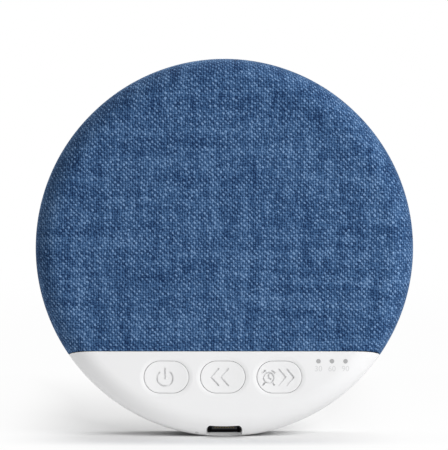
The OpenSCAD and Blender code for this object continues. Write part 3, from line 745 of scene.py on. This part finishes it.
def wovenCloth(name):
    mat, shader, p = startMaterial(name)
    flat = stretch(p.node("UVMap", {}, uv_map="weave"), 1000, 1000)  # in millimetres
    u, v = axes(flat)[:2]
    across = (u + swing(noise(flat, yarn["warpBendScale"]), yarn["warpBend"])) / yarn["warpPitch"]
    along = (v + swing(noise(flat, yarn["weftBendScale"]), yarn["weftBend"])) / yarn["weftPitch"]
    column = floor(across)
    stagger = column.node("TexWhiteNoise", {"W": column}, noise_dimensions="1D")
    along = along + swing(stagger, yarn["stagger"])
    row = floor(along)
    side = fract(across) - 0.5
    rise = fract(along) - 0.5

    climb = yarn["climb"] * cosine((column + row) * math.pi)  # warp above where positive, else weft
    warpTop = climb * cosine(rise * math.pi) + yarn["swell"] * cosine((side + yarn["slant"] * rise) * math.pi)
    weftTop = yarn["swell"] * cosine((rise + yarn["slant"] * side) * math.pi) - climb * cosine(side * math.pi)
    relief = highest(warpTop, weftTop)
    warpUp = ease(warpTop - weftTop, -yarn["upEdge"], yarn["upEdge"])
    paintedSheen = cosine((across + along) * math.pi)  # painted sheen: crossings lighter and darker along one diagonal, as light from one side makes them

    crossing = column.node("CombineXYZ", {0: column, 1: row})
    chance = crossing.node("TexWhiteNoise", {"Vector": crossing}, noise_dimensions="2D")
    jump, drift, layer = yarn["jump"], yarn["drift"], yarn["layer"]
    warpPlace = column.node("CombineXYZ", {0: column * jump[0], 1: along * drift[0], 2: layer[0]})
    weftPlace = row.node("CombineXYZ", {0: across * drift[1], 1: row * jump[1], 2: layer[1]})
    warpTone = noise(warpPlace, 1, 3, 0.6)
    weftTone = noise(weftPlace, 1, 2, 0.6)
    fine, long = yarn["fibre"]
    warpFibre = noise(stretch(flat, fine, long), 1, 3, 0.65)
    weftFibre = noise(stretch(flat, long, fine), 1, 3, 0.65)
    fibre = warpUp * (warpFibre - 0.5) + (1 - warpUp) * (weftFibre - 0.5)
    fine, long = yarn["band"]
    bands = noise(stretch(flat, fine, long), 1) + noise(stretch(flat, long, fine), 1) - 1
    grain = noise(stretch(flat, *yarn["grain"]), 1, 2, 0.6)

    # painted sheen along one diagonal lightens and darkens the crossings
    tone = dyeAndPaintedLight["base"] + swing(warpUp, dyeAndPaintedLight["warp"]) - dyeAndPaintedLight["paintedSheen"] * paintedSheen * (0.5 + chance)
    # painted shade across each thread: lighter along its middle, darker at its sides
    tone = tone + dyeAndPaintedLight["paintedWarpShade"] * cosine(side * 2 * math.pi) + dyeAndPaintedLight["paintedWeftShade"] * cosine(rise * 2 * math.pi)
    # painted shade: the weave's low places darker, its high places lighter
    tone = tone + dyeAndPaintedLight["relief"] * (relief - yarn["meanRelief"]) + swing(chance, dyeAndPaintedLight["crossing"])
    tone = tone + swing(grain, dyeAndPaintedLight["grain"]) + fibre + dyeAndPaintedLight["bands"] * bands
    tone = tone + swing(warpTone, dyeAndPaintedLight["warpThread"]) * (dyeAndPaintedLight["warpUnder"] + (1 - dyeAndPaintedLight["warpUnder"]) * warpUp)
    tone = tone + swing(weftTone, dyeAndPaintedLight["weftThread"]) * (1 - warpUp)
    shades = between(clamp(2 * tone), dyeAndPaintedLight["dark"], dyeAndPaintedLight["middle"])
    shades = between(clamp(2 * tone - 1), shades, dyeAndPaintedLight["light"])
    put(shader, {
        "Base Color": shades,
        "Roughness": dyeAndPaintedLight["rough"] + dyeAndPaintedLight["fibreGloss"] * fibre,
        "Specular IOR Level": 0.15,
        "Sheen Weight": 0.5,
        "Sheen Roughness": 0.3,
        "Sheen Tint": rgb(0.30, 0.48, 0.78),
        "Normal": bump(relief + yarn["fibreRelief"] * fibre, yarn["bump"], yarn["bumpDepth"]),
    })
    return mat


clothFront = makeCloth()
clothFront.data.materials.append(wovenCloth("blueCloth"))
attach(clothFront, "body")
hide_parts("cloth_cover")
print("cloth front:", len(clothFront.data.polygons), "faces")


# timer numbers printed under the lights

numbers = {
    "words": ["30", "60", "90"],
    "firstX": 0.02482,
    "pitch": 0.00357,
    "centreZ": 0.01827,
    "height": 0.00145,
    "sizeShare": 1.42,  # text size for each unit of a digit's height
    "lift": 0.00001,
    "film": 0.00002,
    "colour": rgb(0.68, 0.68, 0.685),
    "speckScale": 3000,
    "dark": 0.95,
    "light": 1.05,
    "rough": 0.5,
    "gloss": 0.1,
    "speckBump": 0.1,
    "speckDepth": 0.00001,
}


def skinY(x, z):  # front skin of the body at a place on the face
    reach = math.hypot(x, z - cloth["centreZ"]) - (cloth["radius"] - cloth["round"])
    if reach <= 0:
        return cloth["frontY"]
    return cloth["frontY"] + cloth["round"] - math.sqrt(cloth["round"] ** 2 - reach ** 2)


def makeNumber(word, x):
    clearSelection()
    bpy.ops.object.text_add(location=(x, 0, numbers["centreZ"]), rotation=upright)
    obj = bpy.context.object
    obj.data.body = word
    obj.data.align_x = "CENTER"
    obj.data.align_y = "CENTER"
    obj.data.size = numbers["height"] * numbers["sizeShare"]
    bpy.ops.object.convert(target="MESH")
    applyPlace()
    obj.name = "timerNumber" + word
    bpy.ops.object.mode_set(mode="EDIT")
    bpy.ops.mesh.select_all(action="SELECT")
    bpy.ops.mesh.quads_convert_to_tris()
    bpy.ops.mesh.subdivide(number_cuts=1)
    bpy.ops.object.mode_set(mode="OBJECT")
    for vert in obj.data.vertices:
        vert.co.y = skinY(vert.co.x, vert.co.z) - numbers["lift"]
    applyModifier(obj, "SOLIDIFY", thickness=numbers["film"], offset=0)
    return obj


def printInk(name):
    mat, shader, p = startMaterial(name)
    specks = noise(p, numbers["speckScale"], 3)
    put(shader, {
        "Base Color": tinted(specks, numbers["colour"], numbers["dark"], numbers["light"]),
        "Roughness": numbers["rough"] + swing(specks, numbers["gloss"]),
        "Normal": bump(specks, numbers["speckBump"], numbers["speckDepth"]),
    })
    return mat


ink = printInk("greyInk")
for place, word in enumerate(numbers["words"]):
    number = makeNumber(word, numbers["firstX"] + place * numbers["pitch"])
    number.data.materials.append(ink)
    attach(number, "body")
print("timer numbers:", ", ".join(numbers["words"]))


# charging socket's shell, cut back to follow the rounded edge

mouth = {
    "wall": 0.0003,
    "recess": 0.00035,
    "endRound": 0.48,  # share of the height
    "endSteps": 16,
    "sides": 288,
    "roundSteps": 18,
}


def makeRoundedBody(inset):
    clearSelection()
    depth = cloth["backY"] - cloth["frontY"] - inset
    bpy.ops.mesh.primitive_cylinder_add(
        vertices=mouth["sides"], radius=cloth["radius"] - inset, depth=depth,
        location=(0, cloth["backY"] - depth / 2, cloth["centreZ"]), rotation=upright)
    obj = bpy.context.object
    applyPlace()
    pickEdges(obj, lambda a, b: max(a.y, b.y) < cloth["frontY"] + inset + tiny["pick"])
    bpy.ops.mesh.bevel(
        offset=cloth["round"] - inset, segments=mouth["roundSteps"], profile=0.5, affect="EDGES")
    bpy.ops.object.mode_set(mode="OBJECT")
    return obj


def makeShell():
    low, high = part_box("usb_shell")
    size = high - low
    rounded = makeRoundedBody(mouth["recess"])
    clearSelection()
    bpy.ops.mesh.primitive_cube_add(size=1, location=(low + high) / 2, scale=size)
    obj = bpy.context.object
    obj.name = "socketShell"
    applyPlace()
    pickEdges(obj, lambda a, b: abs(a.z - b.z) > size.z / 2)
    bpy.ops.mesh.bevel(offset=size.y * mouth["endRound"], segments=mouth["endSteps"], affect="EDGES")
    pickFaces(obj, lambda face: face.normal.z < -facing)
    bpy.ops.mesh.delete(type="FACE")
    bpy.ops.object.mode_set(mode="OBJECT")
    applyModifier(obj, "SOLIDIFY", thickness=mouth["wall"], offset=-1, use_even_offset=True)
    applyModifier(obj, "BOOLEAN", operation="INTERSECT", object=rounded, solver="EXACT")
    bpy.data.objects.remove(rounded)
    bpy.ops.object.shade_smooth_by_angle(angle=smoothAngle)
    obj.data.materials.append(finishes["socketSteel"])
    return obj


shell = makeShell()
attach(shell, "body")
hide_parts("usb_shell")
print("socket shell:", len(shell.data.polygons), "faces")


# snap domes under the keys

snap = {
    "keys": ["power", "back", "forward"],
    "sides": 48,
    "crown": 0.0007,
    "edge": 0.00018,
    "edgeSteps": 4,
    "dimple": 0.0003,
    "dimpleDeep": 0.00005,
    "metal": 0.00012,
    "pressed": 0.1,  # share of its height that is left under a pressed key
}


def makeDome(key):
    low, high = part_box(key + "_dome")
    clearSelection()
    bpy.ops.mesh.primitive_cone_add(
        vertices=snap["sides"], radius1=(high.x - low.x) / 2, radius2=snap["crown"], depth=high.y - low.y,
        location=(low + high) / 2, rotation=upright)
    obj = bpy.context.object
    obj.name = key + "SnapDome"
    applyPlace()
    pickEdges(obj, lambda a, b: max(a.y, b.y) < low.y + tiny["touch"])
    bpy.ops.mesh.bevel(offset=snap["edge"], segments=snap["edgeSteps"], affect="EDGES")
    pickFaces(obj, lambda face: face.normal.y < -facing)
    bpy.ops.mesh.inset(thickness=snap["dimple"])
    bpy.ops.transform.translate(value=(0, snap["dimpleDeep"], 0))
    pickFaces(obj, lambda face: face.normal.y > facing)
    bpy.ops.mesh.delete(type="FACE")
    bpy.ops.object.mode_set(mode="OBJECT")
    applyModifier(obj, "SOLIDIFY", thickness=snap["metal"], offset=-1)
    for vert in obj.data.vertices:
        vert.co.y = min(vert.co.y, high.y)  # the foot stands flat
    bpy.ops.object.shade_smooth_by_angle(angle=smoothAngle)
    obj.data.materials.append(finishes["domeSteel"])
    return obj


for key in snap["keys"]:
    dome = makeDome(key)
    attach(dome, "body")
    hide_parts(key + "_dome")
    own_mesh(dome)
print("snap domes:", len(snap["keys"]))


# camera, floor and light

view = {
    "lookAt": Vector((-0.0001, -0.0102, 0.0563)),
    "distance": 1.2,
    "rise": math.radians(3),
    "lens": 364.4,
    "sensor": 36,
    "farthest": 50,
}


def makeCamera():
    camera = bpy.data.objects.new("camera", bpy.data.cameras.new("camera"))
    bpy.context.scene.collection.objects.link(camera)
    camera.data.lens = view["lens"]
    camera.data.sensor_width = view["sensor"]
    camera.data.clip_end = view["farthest"]
    back = Vector((0, -math.cos(view["rise"]), math.sin(view["rise"])))
    camera.location = view["lookAt"] + back * view["distance"]
    camera.rotation_euler = (math.pi / 2 - view["rise"], 0, 0)
    bpy.context.scene.camera = camera


def shownRays(tree):  # 1 where a ray shows the backdrop, 0 where it only lights the part
    outputs = tree.nodes.new("ShaderNodeLightPath").outputs
    kinds = ["Is Camera Ray", "Is Glossy Ray", "Is Transmission Ray"]
    return clamp(sum(Sock(tree, outputs[kind]) for kind in kinds))


ground = {
    "half": 3.0,
    "colour": rgb(0.88, 0.88, 0.88),
    "bounce": rgb(0.85, 0.85, 0.85),
    "shadowX": -0.006,  # the shadow's middle
    "sideLift": 0.93,  # painted light: how far white is painted over the floor's shadow beside, behind and in front of its middle
    "sideEdge": (0.013, 0.056),
    "rearLift": 0.5,
    "rearEdge": (0, 0.055),
    "farLift": 0.45,
    "farEdge": (0.07, 0.2),
    "frontLift": 0.85,
    "frontEdge": (0.017, 0.035),
    "whiteEdge": (0.25, 0.7),  # all white beyond
    "paintedGlow": 1.0,  # painted glow: a patch of floor in front, to the left, glows for light rays only and lights the part from below, standing in for a bounce card
    "paintedGlowRight": 0.4,
    "paintedGlowFront": (0.004, 0.012),
    "paintedGlowSide": (-0.03, 0.03),
    "paintedGlowReach": (0.06, 0.18),
}


def paperWithPaintedLight(name):
    mat, shader, p = startMaterial(name)
    tree = mat.node_tree
    shown = shownRays(tree)
    put(shader, {
        "Base Color": between(shown, ground["bounce"], ground["colour"]),
        "Roughness": 0.9,
        "Specular IOR Level": 0.0,
    })
    glow = p.node("Emission", {"Color": rgb(1, 1, 1), "Strength": 1.0})
    x, y = axes(p)[:2]
    ahead = -1 * y
    reach = p.node("VectorMath", {0: p}, pick=1, operation="LENGTH")
    # painted light: white is mixed into the floor by place, so its shadow fades beside, behind and in front of
    # the contact
    aside = x.maths("ABSOLUTE", x - ground["shadowX"])
    beside = ground["sideLift"] * ease(aside, *ground["sideEdge"])
    behind = ground["rearLift"] * ease(y, *ground["rearEdge"]) + ground["farLift"] * ease(y, *ground["farEdge"])
    dim = (1 - highest(beside, behind)) * (1 - ground["frontLift"] * ease(ahead, *ground["frontEdge"]))
    paintedWhite = 1 - dim * (1 - ease(reach, *ground["whiteEdge"]))
    # painted glow of the floor patch in front, weaker to the right, seen by light rays only
    paintedGlow = ease(ahead, *ground["paintedGlowFront"]) * (1 - ease(reach, *ground["paintedGlowReach"]))
    paintedGlow = paintedGlow * (1 - (1 - ground["paintedGlowRight"]) * ease(x, *ground["paintedGlowSide"]))
    factor = paintedWhite * shown + ground["paintedGlow"] * paintedGlow * (1 - shown)
    mixed = p.node("MixShader", {0: factor, 1: Sock(tree, shader.outputs[0]), 2: glow})
    tree.links.new(mixed.out, tree.nodes["Material Output"].inputs["Surface"])
    return mat


lamps = {
    "softBox": {"towards": Vector((0.69, -0.57, 0.45)), "distance": 0.65, "size": 0.4, "watts": 3.75},
    "topBox": {"towards": Vector((-0.05, 0.30, 0.95)), "distance": 0.9, "size": 0.6, "watts": 3.5},
}


def makeLamp(name, lamp):
    light = bpy.data.lights.new(name, "AREA")
    light.shape = "DISK"
    light.size = lamp["size"]
    light.energy = lamp["watts"]
    obj = bpy.data.objects.new(name, light)
    bpy.context.scene.collection.objects.link(obj)
    obj.location = Vector((0, 0, cloth["centreZ"])) + lamp["towards"].normalized() * lamp["distance"]
    obj.rotation_euler = (-lamp["towards"]).to_track_quat("-Z", "Y").to_euler()


sky = {"fill": 0.22}


def makeSky():
    world = bpy.data.worlds.new("studio")
    bpy.context.scene.world = world
    world.use_nodes = True
    tree = world.node_tree
    tree.nodes.clear()
    shown = shownRays(tree)
    strength = sky["fill"] + (1 - sky["fill"]) * shown
    backdrop = shown.node("Background", {"Color": rgb(1, 1, 1), "Strength": strength})
    output = tree.nodes.new("ShaderNodeOutputWorld")
    tree.links.new(backdrop.out, output.inputs["Surface"])


makeCamera()
clearSelection()
bpy.ops.mesh.primitive_plane_add(size=2 * ground["half"], location=(0, 0, 0))
groundPlane = bpy.context.object
groundPlane.name = "ground"
groundPlane.data.materials.append(paperWithPaintedLight("paperWithPaintedLight"))
for name, lamp in lamps.items():
    makeLamp(name, lamp)
makeSky()
bpy.context.scene.view_settings.view_transform = "Standard"
print("camera, floor and light set")
